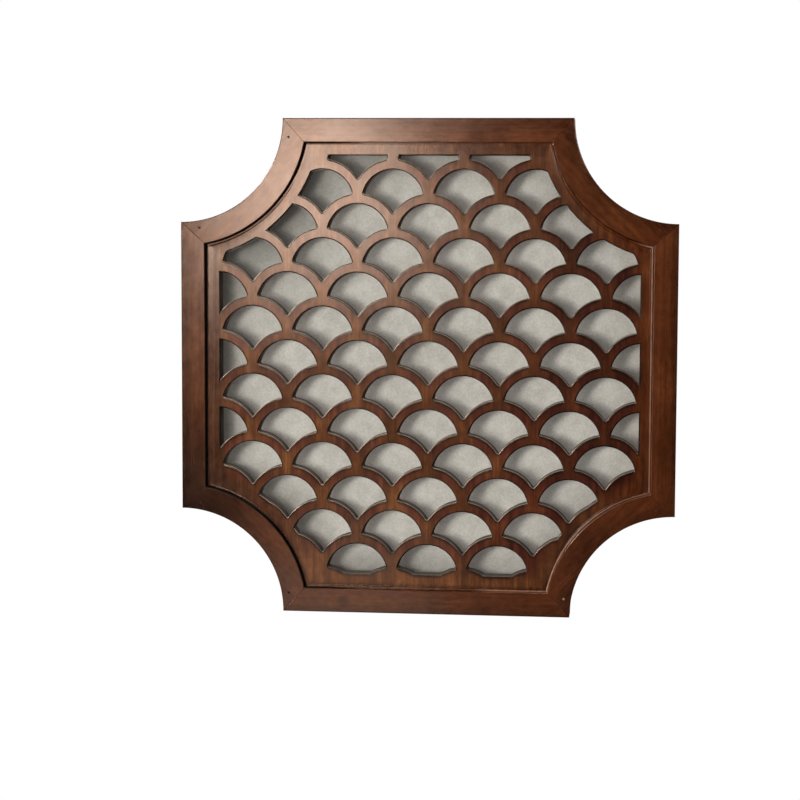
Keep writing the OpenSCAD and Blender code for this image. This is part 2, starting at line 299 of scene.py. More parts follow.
# The shade function, where a wood has one, changes its colour over the panel's face. It also says
# how dark its specks are, where it is dull, and which way its lacquer faces.
def makeWood(name, turn, shift, tones, contrast=1, roughness=woodFinish["roughness"], shade=None):
    look = woodFinish
    material = newMaterial(name)
    tree = material.node_tree
    grain = grainCoordinates(tree, turn, shift)
    patterns = {}
    for pattern in ("fibre", "streak", "cloud", "spray", "sheen"):
        width, length, detail, fineness = look[pattern]
        drawnOut = addNode(tree, "VectorMath", {
            0: grain,
            1: (1 / length, 1, 1),
        }, operation="MULTIPLY").outputs[0]
        patterns[pattern] = addNode(tree, "TexNoise", {
            "Vector": drawnOut,
            "Scale": 1 / width,
            "Detail": detail,
            "Roughness": fineness,
        }).outputs[0]

    tone = 0.5
    for pattern, strength in (
        ("fibre", look["fibreStrength"] * contrast),
        ("streak", look["streakStrength"] * contrast),
        ("cloud", look["cloudStrength"]),
    ):
        fromMean = addNode(tree, "Math", {0: patterns[pattern], 1: 0.5}, operation="SUBTRACT").outputs[0]
        tone = addNode(tree, "Math", {
            0: fromMean,
            1: strength,
            2: tone,
        }, operation="MULTIPLY_ADD").outputs[0]
    ramp = addNode(tree, "ValToRGB", {"Fac": tone})
    setRamp(ramp, list(zip((0.25, 0.5, 0.75), tones)))
    colour = ramp.outputs[0]

    alongPores = addNode(tree, "VectorMath", {
        0: grain,
        1: (1 / look["poreStretch"], 1, 1),
    }, operation="MULTIPLY").outputs[0]
    pores = addNode(tree, "TexVoronoi", {"Vector": alongPores, "Scale": 1 / look["poreSpacing"]})
    speck = addNode(tree, "MapRange", {
        "Value": pores.outputs["Distance"],
        "From Min": look["poreEdge"][0],
        "From Max": look["poreEdge"][1],
        "To Min": look["poreShade"],
    }).outputs[0]
    chance = addNode(tree, "SeparateColor", {0: pores.outputs["Color"]}).outputs[0]
    leftOut = addNode(tree, "Math", {
        0: chance,
        1: 1 - look["poresLeftOut"],
    }, operation="GREATER_THAN").outputs[0]
    speck = addNode(tree, "Mix", {0: leftOut, 2: speck, 3: 1.0}).outputs[0]
    dull = bent = None
    if shade is not None:
        colour, speck, dull, bent = shade(tree, colour, speck)
    colour = addNode(tree, "VectorMath", {0: colour, 3: speck}, operation="SCALE").outputs[0]

    spray = addNode(tree, "Math", {0: patterns["spray"], 1: 0.25}, operation="MULTIPLY").outputs[0]
    relief = addNode(tree, "Math", {
        0: patterns["fibre"],
        1: 0.5,
        2: spray,
    }, operation="MULTIPLY_ADD").outputs[0]
    bump = addNode(tree, "Bump", {
        "Height": relief,
        "Strength": 0.2,
        "Distance": look["relief"] * mm,
    })
    if bent is not None:
        tree.links.new(bent, bump.inputs["Normal"])

    mottle = addNode(tree, "MapRange", {
        "Value": patterns["sheen"],
        "From Min": 0.3,
        "From Max": 0.7,
        "To Min": 1 - look["mottle"],
        "To Max": 1 + look["mottle"],
    }).outputs[0]
    colour = addNode(tree, "VectorMath", {0: colour, 3: mottle}, operation="SCALE").outputs[0]
    # The cloud and the sheen average 0.5 each, so the roughness averages what it is set to
    unevenness = addNode(tree, "Math", {
        0: patterns["cloud"],
        1: patterns["sheen"],
    }, operation="ADD").outputs[0]
    rough = addNode(tree, "Math", {
        0: unevenness,
        1: 0.1,
        2: roughness - 0.1,
    }, operation="MULTIPLY_ADD").outputs[0]
    if dull is not None:
        rough = addNode(tree, "Mix", {0: dull, 2: rough, 3: look["sawnRoughness"]}).outputs[0]
    surface = addNode(tree, "BsdfPrincipled", {
        "Base Color": colour,
        "Roughness": rough,
        "Normal": bump.outputs[0],
        "IOR": 1.5,
        "Specular IOR Level": addNode(tree, "Math", {
            0: mottle,
            1: 0.5,
        }, operation="MULTIPLY").outputs[0],
        "Specular Tint": hexColour(look["glareTint"]),
    }).outputs[0]
    return finishMaterial(material, surface)


# The joint between the frame and the board. Here, and for the painted shade and highlight and the
# tints below, lengths are mm: in from the panel's outline, or to the right and up from its middle.
joint = {
    "inFromOutline": 29.4,
    # a near-black, for the joint's painted shade and the openings' dark arrises
    "nearBlack": "#0c0603",
    "darkStrength": 0.92,
    "shadeReach": (1.2, 1.7),  # to each side of the joint, where it begins and has ended
    "shadeStarts": (-60, -170),  # it grows from the first of these to the second
    "shadeDepth": 16,  # below the frame's face
    "paleJoint": "#8a6350",
    "paleSide": (1, 0, -0.45),  # a direction, and how far along it the painted pale begins and is full
    "paleStarts": (175, 205),
    "paleOnFrame": (28.8, 33),
    "paleOnBoard": (20, 31.9),
    "paleBlur": 0.3,
}


# Painted shade: both arrises of the open joint at the left are painted nearly black, for the shade down in
# the joint
def paintedJointShade(tree, colour, distance, across):
    fullReach, noReach = joint["shadeReach"]
    away = addNode(tree, "Math", {0: distance, 1: joint["inFromOutline"]}, operation="SUBTRACT").outputs[0]
    near = addNode(tree, "MapRange", {
        "Value": addNode(tree, "Math", {0: away}, operation="ABSOLUTE").outputs[0],
        "From Min": noReach,
        "From Max": fullReach,
        "To Max": joint["darkStrength"],
    }).outputs[0]
    atLeft = addNode(tree, "MapRange", {
        "Value": across,
        "From Min": joint["shadeStarts"][0],
        "From Max": joint["shadeStarts"][1],
    }, interpolation_type="SMOOTHSTEP").outputs[0]
    place = addNode(tree, "TexCoord").outputs["Object"]
    inFront = addNode(tree, "Math", {
        0: addNode(tree, "SeparateXYZ", {0: place}).outputs["Y"],
        1: panel["faceY"] + joint["shadeDepth"] * mm,
    }, operation="LESS_THAN").outputs[0]
    atLeft = addNode(tree, "Math", {0: atLeft, 1: inFront}, operation="MULTIPLY").outputs[0]
    # Where the joint's shade is painted; this mask also dulls the wood there
    stained = addNode(tree, "Math", {0: near, 1: atLeft}, operation="MULTIPLY").outputs[0]
    nearBlackColour = hexColour(joint["nearBlack"])
    colour = addNode(tree, "Mix", {0: stained, 6: colour, 7: nearBlackColour}, data_type="RGBA").outputs[2]
    return colour, stained


# Painted highlight: at the right the arrises on both sides of the joint are painted pale for their
# glint, and the joint between them is painted pale too, lightening its shade
def paintedJointHighlight(tree, colour, distance, fromMiddle, start, end):
    side = addNode(tree, "VectorMath", {
        0: fromMiddle,
        1: joint["paleSide"],
    }, operation="DOT_PRODUCT").outputs["Value"]
    paleJoint = addNode(tree, "MapRange", {
        "Value": side,
        "From Min": joint["paleStarts"][0],
        "From Max": joint["paleStarts"][1],
    }, interpolation_type="SMOOTHSTEP").outputs[0]
    for limit, blur in ((start, joint["paleBlur"]), (end, -joint["paleBlur"])):
        within = addNode(tree, "MapRange", {
            "Value": distance,
            "From Min": limit - blur,
            "From Max": limit + blur,
        }).outputs[0]
        paleJoint = addNode(tree, "Math", {0: paleJoint, 1: within}, operation="MULTIPLY").outputs[0]
    paleColour = hexColour(joint["paleJoint"])
    return addNode(tree, "Mix", {0: paleJoint, 6: colour, 7: paleColour}, data_type="RGBA").outputs[2]


frameTone = {
    "atOutline": 0.72,  # shades multiply the wood's colour
    "inside": 1.12,
    "insideFrom": 22,
    "darkEnd": (-310, 0, -165),  # the left stile's lower end, with what its dark reaches
    "darkEndShade": 0.3,
    "darkEndReach": (20, 150),
    "blot": (-101, 0, -287),  # a small one on the bottom rail
    "blotShade": 0.45,
    "blotReach": (3, 12),
}


# The frame is darkest along its outline, where the stain was sprayed heavier
def shadeFrame(tree, colour, speck):
    look = frameTone
    distance, fromMiddle = outlineDistance(tree)
    across = addNode(tree, "SeparateXYZ", {0: fromMiddle}).outputs["X"]
    # The joint's painted shade at the left, and its painted highlight at the right
    colour, stained = paintedJointShade(tree, colour, distance, across)
    colour = paintedJointHighlight(tree, colour, distance, fromMiddle, *joint["paleOnFrame"])
    shade = addNode(tree, "MapRange", {
        "Value": distance,
        "From Max": look["insideFrom"],
        "To Min": look["atOutline"],
        "To Max": look["inside"],
    }, interpolation_type="SMOOTHSTEP").outputs[0]
    for spot in ("darkEnd", "blot"):
        away = addNode(tree, "VectorMath", {
            0: fromMiddle,
            1: look[spot],
        }, operation="DISTANCE").outputs["Value"]
        light = addNode(tree, "MapRange", {
            "Value": away,
            "From Min": look[spot + "Reach"][0],
            "From Max": look[spot + "Reach"][1],
            "To Min": look[spot + "Shade"],
        }, interpolation_type="SMOOTHSTEP").outputs[0]
        shade = addNode(tree, "Math", {0: shade, 1: light}, operation="MULTIPLY").outputs[0]
    speck = addNode(tree, "Math", {0: speck, 1: shade}, operation="MULTIPLY").outputs[0]
    return colour, speck, stained, None


boardTone = {
    "pitch": 85.7,  # of the scales, across
    "rowPitch": 41.3,
    "arch": (1.3, 5.8),  # the middle of one arch
    "archTint": (0.94, 0.72, 1.15, 1),  # tints multiply the wood's colour
    "neckTint": (1.3, 1.38, 1.08, 1),
    "neckEdge": (0.2, -0.9),  # of the wave that is 1 on the arches and -1 on the necks
    "lowRight": (1, 0, -0.35),  # a direction, along which the planks get redder
    "redTint": (0.72, 0.5, 0.62, 1),
    "redFrom": (20, 230),
    "fieldFrom": (44, 54),
    "borderTint": (1.05, 1.02, 0.95, 1),
    "leftTint": (0.64, 0.66, 0.66, 1),
    "leftEnd": -215,
    "rightLitTint": (1.5, 1.2, 0.82, 1),
    "rightFrom": (190, 235),
    "bottomTint": (1.25, 1.33, 1.2, 1),
    "bottomEnd": -235,
    "towardsRightFrom": (120, 235),
    "towardsRightFactor": (1.1, 0.72),
}


# The fretwork is rubbed paler and more orange at the necks between neighbouring openings, and
# stays dark and red along the arches. Towards the lower right it is darker and redder.
def fretworkTint(tree, fromMiddle, lowRight):
    look = boardTone
    perPitch, perRow = 2 * math.pi / look["pitch"], math.pi / look["rowPitch"]
    phase = addNode(tree, "Mapping", {
        "Vector": fromMiddle,
        "Location": (-look["arch"][0] * perPitch, 0, -look["arch"][1] * perRow),
        "Scale": (perPitch, 0, perRow),
    }).outputs["Vector"]
    cosines = addNode(tree, "VectorMath", {0: phase}, operation="COSINE").outputs[0]
    waves = addNode(tree, "SeparateXYZ", {0: cosines}).outputs
    neck = addNode(tree, "MapRange", {
        "Value": addNode(tree, "Math", {
            0: waves["X"],
            1: waves["Z"],
        }, operation="MULTIPLY").outputs[0],
        "From Min": look["neckEdge"][0],
        "From Max": look["neckEdge"][1],
    }, interpolation_type="SMOOTHSTEP").outputs[0]
    tint = addNode(tree, "Mix", {
        0: neck,
        6: look["archTint"],
        7: look["neckTint"],
    }, data_type="RGBA").outputs[2]
    redder = addNode(tree, "MapRange", {
        "Value": lowRight,
        "From Min": look["redFrom"][0],
        "From Max": look["redFrom"][1],
    }, interpolation_type="SMOOTHSTEP").outputs[0]
    redder = addNode(tree, "Mix", {
        0: redder,
        6: (1, 1, 1, 1),
        7: look["redTint"],
    }, data_type="RGBA").outputs[2]
    return addNode(tree, "VectorMath", {0: tint, 1: redder}, operation="MULTIPLY").outputs[0]


# Each side of the solid border has its own tint. The right one is painted light, lighter and more
# orange where its cove faces the light; the bottom is lighter and the left darker.
def borderTint(tree, across, upwards):
    look = boardTone
    atLeft = addNode(tree, "Math", {0: across, 1: look["leftEnd"]}, operation="LESS_THAN").outputs[0]
    atRight = addNode(tree, "MapRange", {
        "Value": across,
        "From Min": look["rightFrom"][0],
        "From Max": look["rightFrom"][1],
    }).outputs[0]
    atBottom = addNode(tree, "Math", {0: upwards, 1: look["bottomEnd"]}, operation="LESS_THAN").outputs[0]
    tint = look["borderTint"]
    for side, name in ((atLeft, "leftTint"), (atRight, "rightLitTint"), (atBottom, "bottomTint")):
        tint = addNode(tree, "Mix", {0: side, 6: tint, 7: look[name]}, data_type="RGBA").outputs[2]
    return tint


openingEdges = {
    "start": 41.5,  # the openings lie further in from the outline than this
    "darkStrength": 0.88,
    "edgeReach": 5,  # how far the dark beside an upper edge reaches
    "edgeShade": 0.1,
    "highlightColour": "#b3a18a",
    "highlightStrength": 0.9,
    "highlightFacing": (0.12, 0.4),  # how far an arris faces up, where the painted highlight begins and is full
    "highlightTurning": (-0.82, -0.66),  # and how far it has turned from the face
    "highlightAtRight": 0.65,  # less of it there
    "rightFrom": (-50, 200),
    "sawn": "#28231e",
    "bottomDarkest": 0.3,
    "bottomDarkFrom": (-205, -225),
}


# The openings' arrises are dark, and where they face up they carry a painted highlight, pale; the
# wood just below each opening is darker. The cut faces took little stain and look grey.
def wearOpenings(tree, colour, distance, upwards, lowRight):
    look = openingEdges
    normal = addNode(tree, "NewGeometry").outputs["Normal"]
    facing = addNode(tree, "SeparateXYZ", {0: normal}).outputs
    inOpenings = addNode(tree, "Math", {
        0: distance,
        1: look["start"],
    }, operation="GREATER_THAN").outputs[0]

    # The wood just below each opening is darker. The opening is looked for from the face, up through the
    # wood
    nextOpening = addNode(tree, "AmbientOcclusion", {
        "Distance": look["edgeReach"] * mm,
        "Normal": addNode(tree, "CombineXYZ", {"Z": -1}).outputs[0],
    }, samples=16, inside=True, only_local=True).outputs["AO"]
    shade = addNode(tree, "MapRange", {
        "Value": nextOpening,
        "From Min": 0.5,
        "From Max": 0.92,
        "To Min": look["edgeShade"],
    }).outputs[0]
    shade = addNode(tree, "Mix", {0: inOpenings, 2: 1.0, 3: shade}).outputs[0]
    colour = addNode(tree, "VectorMath", {0: colour, 3: shade}, operation="SCALE").outputs[0]

    onArris = addNode(tree, "MapRange", {
        "Value": addNode(tree, "Attribute", attribute_name="cutEdge").outputs["Fac"],
        "From Max": 0.7,
        "To Max": look["darkStrength"],
    }).outputs[0]
    onArris = addNode(tree, "Math", {0: onArris, 1: inOpenings}, operation="MULTIPLY").outputs[0]
    nearBlackColour = hexColour(joint["nearBlack"])
    colour = addNode(tree, "Mix", {0: onArris, 6: colour, 7: nearBlackColour}, data_type="RGBA").outputs[2]

    # In the lowest row the painted highlight on the arrises fades out and the cut faces are darker
    lowRowFade = addNode(tree, "MapRange", {
        "Value": upwards,
        "From Min": look["bottomDarkFrom"][1],
        "From Max": look["bottomDarkFrom"][0],
        "To Min": look["bottomDarkest"],
    }).outputs[0]
    highlighted = addNode(tree, "Math", {0: onArris, 1: lowRowFade}, operation="MULTIPLY").outputs[0]
    for value, (start, end), (first, last) in (
        (facing["Z"], look["highlightFacing"], (0, look["highlightStrength"])),
        (facing["Y"], look["highlightTurning"], (0, 1)),
        (lowRight, look["rightFrom"], (1, look["highlightAtRight"])),
    ):
        share = addNode(tree, "MapRange", {
            "Value": value,
            "From Min": start,
            "From Max": end,
            "To Min": first,
            "To Max": last,
        }).outputs[0]
        highlighted = addNode(tree, "Math", {0: highlighted, 1: share}, operation="MULTIPLY").outputs[0]
    highlightColour = hexColour(look["highlightColour"])
    colour = addNode(tree, "Mix", {0: highlighted, 6: colour, 7: highlightColour}, data_type="RGBA").outputs[2]

    sawn = addNode(tree, "MapRange", {
        "Value": addNode(tree, "Math", {0: facing["Y"]}, operation="ABSOLUTE").outputs[0],
        "From Min": 0.25,
        "From Max": 0.1,
    }).outputs[0]
    sawn = addNode(tree, "Math", {0: sawn, 1: inOpenings}, operation="MULTIPLY").outputs[0]
    cutFace = addNode(tree, "VectorMath", {
        0: hexColour(look["sawn"])[:3],
        3: lowRowFade,
    }, operation="SCALE").outputs[0]
    colour = addNode(tree, "Mix", {0: sawn, 6: colour, 7: cutFace}, data_type="RGBA").outputs[2]
    return colour, sawn


cove = {
    "lipEnd": 31.9,
    "start": (33.1, 33.9),
    "end": (42.7, 43.5),
    "levelling": 0.94,
    "topFrom": (215, 250),  # where the levelling begins to reach further out
    "topReach": 2.2,
    "coveShadeEnd": (33, 38),
    "bottomDarkest": 0.4,
    "bottomDarkFrom": (-120, -190),
}


# Lacquer has pooled in the cove, so it shines nearly as flat as the field beside it, and at the
# top right up to the lip
def levelCove(tree, distance, upwards):
    atTop = addNode(tree, "MapRange", {
        "Value": upwards,
        "From Min": cove["topFrom"][0],
        "From Max": cove["topFrom"][1],
        "To Max": cove["topReach"],
    }).outputs[0]
    inCove = addNode(tree, "MapRange", {
        "Value": addNode(tree, "Math", {0: distance, 1: atTop}, operation="ADD").outputs[0],
        "From Min": cove["start"][0],
        "From Max": cove["start"][1],
        "To Max": cove["levelling"],
    }).outputs[0]
    beforeField = addNode(tree, "MapRange", {
        "Value": distance,
        "From Min": cove["end"][1],
        "From Max": cove["end"][0],
    }).outputs[0]
    normal = addNode(tree, "NewGeometry").outputs["Normal"]
    outwards = addNode(tree, "Math", {
        0: addNode(tree, "SeparateXYZ", {0: normal}).outputs["Y"],
        1: -0.7,
    }, operation="LESS_THAN").outputs[0]
    for share in (beforeField, outwards):
        inCove = addNode(tree, "Math", {0: inCove, 1: share}, operation="MULTIPLY").outputs[0]
    levelled = addNode(tree, "Mix", {0: inCove, 4: normal, 5: (0, -1, 0)}, data_type="VECTOR").outputs[1]
    return addNode(tree, "VectorMath", {0: levelled}, operation="NORMALIZE").outputs[0]


# Painted shade: low down, the cove's bottom beside the lip is darker, for the relief its levelled shine
# hides
def paintedCoveShade(tree, distance, upwards):
    shadeByHeight = addNode(tree, "MapRange", {
        "Value": upwards,
        "From Min": cove["bottomDarkFrom"][1],
        "From Max": cove["bottomDarkFrom"][0],
        "To Min": cove["bottomDarkest"],
    }).outputs[0]
    shadeInCove = addNode(tree, "MapRange", {
        "Value": distance,
        "From Min": cove["coveShadeEnd"][0],
        "From Max": cove["coveShadeEnd"][1],
        "To Min": shadeByHeight,
    }, interpolation_type="SMOOTHSTEP").outputs[0]
    pastLip = addNode(tree, "Math", {0: distance, 1: cove["lipEnd"]}, operation="GREATER_THAN").outputs[0]
    return addNode(tree, "Mix", {0: pastLip, 2: 1.0, 3: shadeInCove}).outputs[0]


def shadeBoard(tree, colour, speck):
    look = boardTone
    distance, fromMiddle = outlineDistance(tree)
    place = addNode(tree, "SeparateXYZ", {0: fromMiddle}).outputs
    across, upwards = place["X"], place["Z"]
    lowRight = addNode(tree, "VectorMath", {
        0: fromMiddle,
        1: look["lowRight"],
    }, operation="DOT_PRODUCT").outputs["Value"]
    inField = addNode(tree, "MapRange", {
        "Value": distance,
        "From Min": look["fieldFrom"][0],
        "From Max": look["fieldFrom"][1],
    }).outputs[0]
    tint = addNode(tree, "Mix", {
        0: inField,
        6: borderTint(tree, across, upwards),
        7: fretworkTint(tree, fromMiddle, lowRight),
    }, data_type="RGBA").outputs[2]
    colour = addNode(tree, "VectorMath", {0: colour, 1: tint}, operation="MULTIPLY").outputs[0]
    colour, sawn = wearOpenings(tree, colour, distance, upwards, lowRight)
    # The joint's painted shade at the left, and its painted highlight at the right
    colour, stained = paintedJointShade(tree, colour, distance, across)
    colour = paintedJointHighlight(tree, colour, distance, fromMiddle, *joint["paleOnBoard"])
    # Darker towards the right edge
    towardsRight = addNode(tree, "MapRange", {
        "Value": across,
        "From Min": look["towardsRightFrom"][0],
        "From Max": look["towardsRightFrom"][1],
        "To Min": look["towardsRightFactor"][0],
        "To Max": look["towardsRightFactor"][1],
    }).outputs[0]
    for shade in (towardsRight, paintedCoveShade(tree, distance, upwards)):
        speck = addNode(tree, "Math", {0: speck, 1: shade}, operation="MULTIPLY").outputs[0]
    # Dull on the cut faces and where the joint's shade is painted
    dull = addNode(tree, "Math", {0: sawn, 1: stained}, operation="MAXIMUM").outputs[0]
    return colour, speck, dull, levelCove(tree, distance, upwards)


print("wood finishes ready")

frameMember = {
    "arris": 1.0 * mm,  # radius rubbed onto the edges of the face
    "mitreShare": 0.22,  # the mitres' share of it, a hairline
    "backShare": 0.6,
    "tones": ("#301406", "#3f1d0a", "#502810"),  # the stained wood's dark, middle and light
    "pinReach": (167.95, 277.31),  # mm, a pin's two distances from the panel's middle
    "screwAcross": 285.5,  # mm from the panel's middle
    "screwHeights": (-196.5, -209.5),  # mm from the top rail's middle line
    "holeRim": 2 * mm,  # an edge this near a hole's middle belongs to the hole
}
# A turn of the grain, from lying along the rails
alongX = 0
alongZ = math.pi / 2
risingRight = math.pi / 4
fallingRight = -math.pi / 4
# Each member's piece, how its grain runs, and which part of the grain's pattern it shows
grainOf = {
    "top_rail": ("topRail", alongX, (40, 7, 12)),
    "bottom_rail": ("bottomRail", alongX, (420, 31, 54)),
    "left_stile": ("leftStile", alongZ, (90, 3, 77)),
    "right_stile": ("rightStile", alongZ, (700, 11, 5)),
    "corner_top_left": ("cornerTopLeft", risingRight, (30, 17, 33)),
    "corner_top_right": ("cornerTopRight", fallingRight, (260, 27, 61)),
    "corner_bottom_left": ("cornerBottomLeft", fallingRight, (510, 5, 20)),
    "corner_bottom_right": ("cornerBottomRight", risingRight, (880, 13, 8)),
}
near, far = frameMember["pinReach"]
pinPlaces = [
    Vector((sideways * across, upwards * along + panel["middle"].z / mm)) * mm
    for sideways in (-1, 1) for upwards in (-1, 1)
    for across, along in ((near, far), (far, near))
]
screwPlaces = [
    Vector((side * frameMember["screwAcross"], height)) * mm
    for side in (-1, 1) for height in frameMember["screwHeights"]
]
holePlaces = pinPlaces + screwPlaces


# Each edge of a frame member's share of the arris, from its ends and its two faces' normals
def memberShare(a, b, first, second):
    if first.angle(second) < sharpFrom:
        return 0
    facing = [n for n in (first, second) if abs(n.y) > 0.99]
    if not facing:
        return 0  # the edges through the depth, at the tips, stay crisp at the mitres
    middle = (a + b) / 2
    if min((Vector((middle.x, middle.z)) - hole).length for hole in holePlaces) < frameMember["holeRim"]:
        return 0  # the rims of the pins' and screws' holes stay sharp
    other = first if facing[0] is second else second
    atFront = abs(middle.y - panel["faceY"]) < 0.1 * mm
    atBack = abs(middle.y) < 0.1 * mm
    if not (atFront or atBack):
        return 0  # the groove's edges stay sharp
    if isMitreFace(middle, other):
        return frameMember["mitreShare"]
    return 1 if atFront else frameMember["backShare"]


# A mitre's face runs from an outer tip to an inner corner, and lies along neither the outline nor
# the inner edge
def isMitreFace(point, normal):
    x, z = abs(point.x), abs(point.z - panel["middle"].z)
    nx, nz = abs(normal.x), abs(normal.z)
    if nx > 0.999 or nz > 0.999:
        return False
    corner = Vector((panel["halfWidth"], 0, panel["halfWidth"]))
    away = Vector((x, 0, z)) - corner
    outward = away.normalized()
    return abs(outward.x * nx + outward.z * nz) < 0.9 or not (
        abs(away.length - panel["scoopRadius"]) < 0.5 * mm
        or abs(away.length - panel["scoopRadius"] - panel["faceWidth"]) < 0.5 * mm
    )


for nodeName, (pieceName, turn, shift) in grainOf.items():
    piece = copyOfNode(nodeName, pieceName)
    weighEdges(piece, memberShare)
    roundEdges(piece, frameMember["arris"], 3)
    smooth(piece)
    finish = makeWood(
        "stained hardwood, " + pieceName, turn, shift, frameMember["tones"], shade=shadeFrame)
    settle(piece, "panel", finish, "frame_wood", nodeName)
print("frame members made")

board = {
    "arris": 1.8 * mm,  # sanded onto the fretwork's face edges, flatter towards the face
    "arrisProfile": 0.68,
    "backShare": 0.3,
    "lipShare": 0.3,
    "lipHeight": 3 * mm,
    "pastCove": 12 * mm,  # how far from the frame's inner edge the field has begun
    "pastScoopedCove": 10 * mm,  # and how far from its scooped edge
    "tones": ("#2b1509", "#3f1f0c", "#573218"),
    "contrast": 1.4,
    "roughness": 0.19,
}


def isInField(point):
    reach = panel["halfWidth"] - panel["faceWidth"] - board["pastCove"]
    scoopReach = panel["scoopRadius"] + panel["faceWidth"] + board["pastScoopedCove"]
    x, z = abs(point.x), abs(point.z)
    fromCorner = math.hypot(panel["halfWidth"] - x, panel["halfWidth"] - z)
    return x < reach and z < reach and fromCorner > scoopReach


def boardArrisShare(a, b, first, second):
    if first.angle(second) < sharpFrom:
        return 0
    middle = (a + b) / 2
    onField = abs(middle.y - panel["fieldY"]) < 0.05 * mm
    onBack = abs(middle.y - panel["backY"]) < 0.05 * mm
    onLip = abs(middle.y - panel["fieldY"] + board["lipHeight"]) < 0.05 * mm
    inField = isInField(middle - panel["middle"])
    if onField and inField:
        return 1
    if onBack:
        return board["backShare"]
    if onLip and not inField:
        return board["lipShare"]
    return 0


fretBoard = copyOfNode("fret_board", "fretBoard")
weighEdges(fretBoard, boardArrisShare)
roundEdges(fretBoard, board["arris"], 5, board["arrisProfile"])
# The material finds the arrises and the cut faces by this: 0 on the flat faces, 1 elsewhere
cutEdge = fretBoard.data.attributes.new("cutEdge", "FLOAT", "POINT")
cutEdge.data.foreach_set("value", [1] * len(cutEdge.data))
for face in fretBoard.data.polygons:
    if abs(face.normal.y) > 0.9999:
        for index in face.vertices:
            cutEdge.data[index].value = 0
smooth(fretBoard)
finish = makeWood(
    "stained hardwood, fret board", alongZ, (150, 21, 40), board["tones"],
    board["contrast"], board["roughness"], shadeBoard)
settle(fretBoard, "panel", finish, "board_wood", "fret_board")
print("pierced board made:", len(fretBoard.data.polygons), "faces")

# The pins' heads sit punched below the face. Wax stopping hides the four in the stiles' mitres
# and, paler than the wood, the one at the bottom rail's right end.
stopping = {
    "radius": 1.45 * mm,
    "below": 0.04 * mm,  # how far the wax stays under the face
    "depth": 0.54 * mm,
    "dish": 0.1 * mm,  # how far its middle is wiped hollow
    "rings": (0.35, 0.3),  # shares of the radius, from the rim to the slope and over the slope
    "brown": ("#2f1508", "#40200f"),
    "pale": ("#6f5443", "#8d7260"),
}


def makeStopping(pieceName, places):
    piece = startPiece(
        pieceName,
        bpy.ops.mesh.primitive_cylinder_add,
        vertices=24,
        radius=stopping["radius"],
        depth=stopping["depth"],
        rotation=(math.pi / 2, 0, 0),
        location=(0, panel["faceY"] + stopping["below"] + stopping["depth"] / 2, 0),
    )
    editMode("FACE")
    pickFaces(piece, lambda face: face.normal.y < -0.99)
    for share in stopping["rings"]:
        bpy.ops.mesh.inset(thickness=stopping["radius"] * share)
    bpy.ops.transform.translate(value=(0, stopping["dish"], 0))
    objectMode()
    smooth(piece)
    return placeCopies(piece, [Vector((place.x, 0, place.y)) for place in places])


# Furniture maker's wax, a shade off the stained wood, soft and dull
def makeWax(name, tones):
    material = newMaterial(name)
    tree = material.node_tree
    place = addNode(tree, "TexCoord").outputs["Object"]
    cloud = addNode(tree, "TexNoise", {"Vector": place, "Scale": 1 / (0.6 * mm), "Detail": 2}).outputs[0]
    ramp = addNode(tree, "ValToRGB", {"Fac": cloud})
    setRamp(ramp, list(zip((0.35, 0.65), tones)))
    rough = addNode(tree, "Math", {0: cloud, 1: 0.2, 2: 0.4}, operation="MULTIPLY_ADD").outputs[0]
    surface = addNode(tree, "BsdfPrincipled", {
        "Base Color": ramp.outputs[0],
        "Roughness": rough,
        "IOR": 1.44,
        "Specular IOR Level": 0.15,
    }).outputs[0]
    return finishMaterial(material, surface)


# Turned iron of the pins: a dark mill skin, dented by the punch
def makeIron():
    material = newMaterial("punched iron pin")
    tree = material.node_tree
    place = addNode(tree, "TexCoord").outputs["Object"]
    patch = addNode(tree, "TexNoise", {"Vector": place, "Scale": 1 / (0.9 * mm), "Detail": 3}).outputs[0]
    ramp = addNode(tree, "ValToRGB", {"Fac": patch})
    setRamp(ramp, [(0.35, "#0f0b09"), (0.6, "#201814"), (0.75, "#3a271d")])
    rough = addNode(tree, "Math", {0: patch, 1: 0.3, 2: 0.5}, operation="MULTIPLY_ADD").outputs[0]
    bump = addNode(tree, "Bump", {"Height": patch, "Strength": 0.4, "Distance": 0.1 * mm}).outputs[0]
    surface = addNode(tree, "BsdfPrincipled", {
        "Base Color": ramp.outputs[0],
        "Metallic": 0.6,
        "Roughness": rough,
        "Normal": bump,
    }).outputs[0]
    return finishMaterial(material, surface)


stilePins = [pin for pin in pinPlaces if abs(pin.x) > panel["halfWidth"] - panel["faceWidth"]]
railPins = [pin for pin in pinPlaces if pin not in stilePins]
palePins = [pin for pin in railPins if pin.x > 0 and pin.y < panel["middle"].z]
brownWax = makeWax("brown wax stopping", stopping["brown"])
paleWax = makeWax("pale wax stopping", stopping["pale"])
settle(makeStopping("waxStopping", stilePins), "panel", brownWax, "frame_wood")
settle(makeStopping("paleWaxStopping", palePins), "panel", paleWax, "frame_wood")
coat(nodes["mitre_pins"], makeIron())
print("pins and stopping made")

# Loose tenons of beech, sawn and sanded, never stained: pale straight grain with short flecks
tenon = {"tones": ("#8d6a43", "#b58a5c", "#c9a273"), "roughness": 0.6}
tenonWood = makeWood("sanded beech", alongX, (15, 40, 22), tenon["tones"], roughness=tenon["roughness"])
for nodeName, node in nodes.items():
    if nodeName.startswith("tenon_"):
        coat(node, tenonWood)
print("tenons finished")

